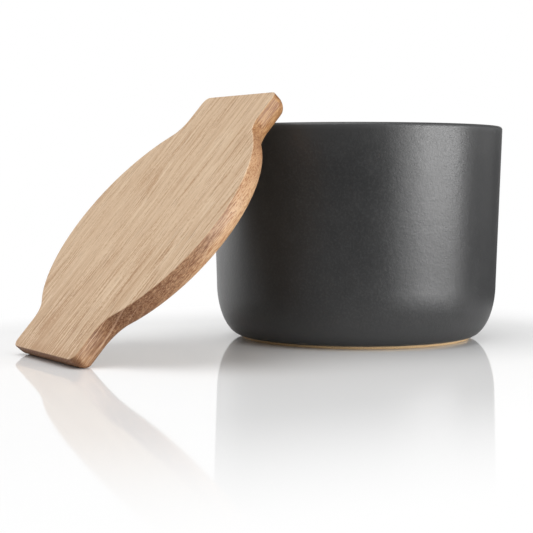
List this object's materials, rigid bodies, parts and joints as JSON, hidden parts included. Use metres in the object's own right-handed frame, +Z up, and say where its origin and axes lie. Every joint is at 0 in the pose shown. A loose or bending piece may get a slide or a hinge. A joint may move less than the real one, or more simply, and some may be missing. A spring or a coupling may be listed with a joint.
{
  "type": "salt pot",
  "caption": "Round stoneware salt pot with a thick plain rim and a rounded foot, and a loose flat wooden lid with straight tabs that leans on the rim.",
  "frame": {"origin": "centre of the pot's foot, on the table", "axes": "+Z up along the pot's axis; the lid stands on the table on the -X side and slopes up towards +X onto the rim"},
  "size_m": [0.1891, 0.112, 0.0899],
  "materials": {
    "stoneware": "satin matt charcoal glaze, bare clay at the foot",
    "oak": "oiled, fine straight grain from tab to tab"
  },
  "bodies": {
    "pot": {"pot": "stoneware"},
    "lid": {"lid": "oak"}
  },
  "joints": [
    {"name": "lid_lift", "type": "slide", "parent": "pot", "child": "lid", "axis": [0, 0, 1], "range_m": [0, 0.1]}
  ]
}
